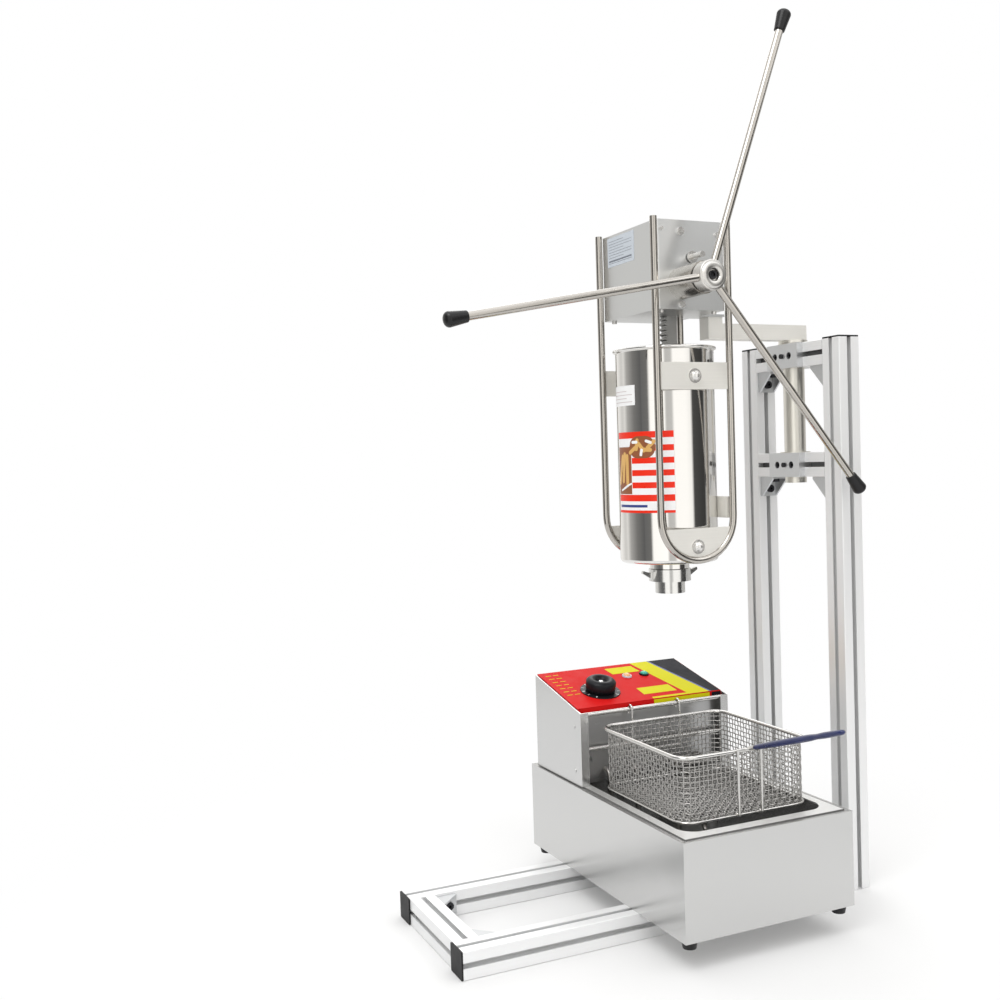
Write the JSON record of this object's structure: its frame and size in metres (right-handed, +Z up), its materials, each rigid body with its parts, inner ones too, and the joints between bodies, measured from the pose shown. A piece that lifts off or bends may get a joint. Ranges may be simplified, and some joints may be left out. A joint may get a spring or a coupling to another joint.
{
  "type": "churro_maker",
  "caption": "Manual churro press with a rack-and-pinion piston, hung from a swivelling mast on an aluminium profile stand, over an electric fryer with a lift-out wire basket.",
  "frame": {"origin": "On the floor, at the middle of the rear cross-member's underside, midway between the two uprights.", "axes": "+Z up. +X runs from the capped ends of the base rails to the back of the uprights. -Y is the operator's side, with the crank and the basket's handle."},
  "size_m": [0.7157, 0.6263, 1.3587],
  "materials": {
    "profile": "clear anodised extrusion, fine lengthwise grain",
    "machined": "machined and satin",
    "bush": "turned bronze",
    "cast_bracket": "die cast, tumbled",
    "black_bolt": "black oxide",
    "black_plastic": "moulded, fine texture",
    "raw_steel": "stainless, lightly brushed, warm tint",
    "sheet_steel": "brushed stainless sheet",
    "turned_steel": "turned and polished stainless",
    "bronze": "sintered bronze",
    "polished_rod": "polished stainless rod",
    "polished_tube": "polished stainless tube",
    "plate_label": "bare bluish foil plate",
    "red_label": "printed label, plain stripes",
    "gear_steel": "machined steel, lightly greased",
    "black_rubber": "matt rubber",
    "red_rubber": "silicone seal",
    "fryer_sheet": "brushed stainless sheet",
    "red_panel": "printed panel film",
    "element_steel": "heat-darkened steel tube",
    "lamp_plastic": "clear moulded lenses",
    "chrome_wire": "nickel-plated wire",
    "blue_plastic": "dipped plastic"
  },
  "bodies": {
    "stand": {"rail_near": "profile", "rail_far": "profile", "front_cross_member": "profile", "rear_cross_member": "profile", "upright_near": "profile", "upright_far": "profile", "upper_cross_member": "profile", "lower_cross_member": "profile", "upper_mast_block": "machined", "lower_mast_block": "machined", "mast_bushes": "bush", "corner_brackets": "cast_bracket", "bracket_bolts": "black_bolt", "end_caps": "black_plastic"},
    "extruder": {"mast_tube": "raw_steel", "hanger_arm": "raw_steel", "gearbox_base_plate": "sheet_steel", "gearbox_housing": "sheet_steel", "gearbox_cover": "sheet_steel", "shaft_boss": "turned_steel", "shaft_bushes": "bronze", "frame_loop_near": "polished_rod", "frame_loop_far": "polished_rod", "strap_plates": "raw_steel", "half_moon_plates": "raw_steel", "side_clip": "raw_steel", "frame_bolts": "polished_rod", "rating_plate": "plate_label", "cylinder": "polished_tube", "cylinder_labels": "red_label", "spout": "turned_steel", "star_die": "turned_steel"},
    "crank": {"crank_shaft": "turned_steel", "pinion": "gear_steel", "crank_hub": "turned_steel", "crank_arms": "polished_rod", "crank_grips": "black_rubber"},
    "plunger": {"rack": "gear_steel", "guide_rod": "polished_rod", "piston": "turned_steel", "piston_seal": "red_rubber"},
    "release_pin": {"release_pin": "polished_rod"},
    "ring_nut": {"ring_nut": "turned_steel"},
    "fryer": {"fryer_housing": "fryer_sheet", "fryer_feet": "black_rubber"},
    "tank": {"oil_tank": "fryer_sheet"},
    "screen": {"screen_plate": "fryer_sheet"},
    "head": {"head_case": "fryer_sheet", "head_cheeks": "fryer_sheet", "control_panel": "red_panel", "hang_rail": "polished_rod", "heating_element": "element_steel", "pilot_lamps": "lamp_plastic"},
    "knob": {"thermostat_knob": "black_plastic"},
    "basket": {"basket_walls": "chrome_wire", "basket_floor": "chrome_wire", "basket_rim": "chrome_wire", "basket_hooks": "chrome_wire", "handle_frame": "chrome_wire", "handle_grip": "blue_plastic"}
  },
  "joints": [
    {"name": "mast_swivel", "type": "hinge", "parent": "stand", "child": "extruder", "pos_m": [-0.008, 0, 0.7], "axis": [0, 0, 1], "range_deg": [-90, 90]},
    {"name": "crank_turn", "type": "hinge", "parent": "extruder", "child": "crank", "pos_m": [-0.279, -0.1, 0.96], "axis": [0, -1, 0], "range_deg": [-49, 982]},
    {"name": "rack_slide", "type": "slide", "parent": "extruder", "child": "plunger", "axis": [0, 0, 1], "range_m": [-0.015, 0.3]},
    {"name": "pin_pull", "type": "slide", "parent": "extruder", "child": "release_pin", "axis": [0, -1, 0], "range_m": [0, 0.012], "stiffness_N_per_m": 200},
    {"name": "nut_turn", "type": "hinge", "parent": "extruder", "child": "ring_nut", "pos_m": [-0.261, 0, 0.513], "axis": [0, 0, 1], "range_deg": [0, 720]},
    {"name": "fryer_lift", "type": "slide", "parent": "stand", "child": "fryer", "axis": [0, 0, 1], "range_m": [0, 0.03]},
    {"name": "tank_lift", "type": "slide", "parent": "fryer", "child": "tank", "axis": [0, 0, 1], "range_m": [0, 0.03]},
    {"name": "head_lift", "type": "slide", "parent": "tank", "child": "head", "axis": [0, 0, 1], "range_m": [0, 0.05]},
    {"name": "screen_lift", "type": "slide", "parent": "head", "child": "screen", "axis": [0, 0, 1], "range_m": [0, 0.02]},
    {"name": "knob_turn", "type": "hinge", "parent": "head", "child": "knob", "pos_m": [-0.331, 0.11233, 0.31466], "axis": [0, -0.225, 0.9744], "range_deg": [-270, 0]},
    {"name": "basket_lift", "type": "slide", "parent": "head", "child": "basket", "axis": [0, 0, 1], "range_m": [0, 0.05]}
  ],
  "couplings": [
    {"joint": "rack_slide", "follows": "crank_turn", "m_per_rad": 0.0175}
  ]
}
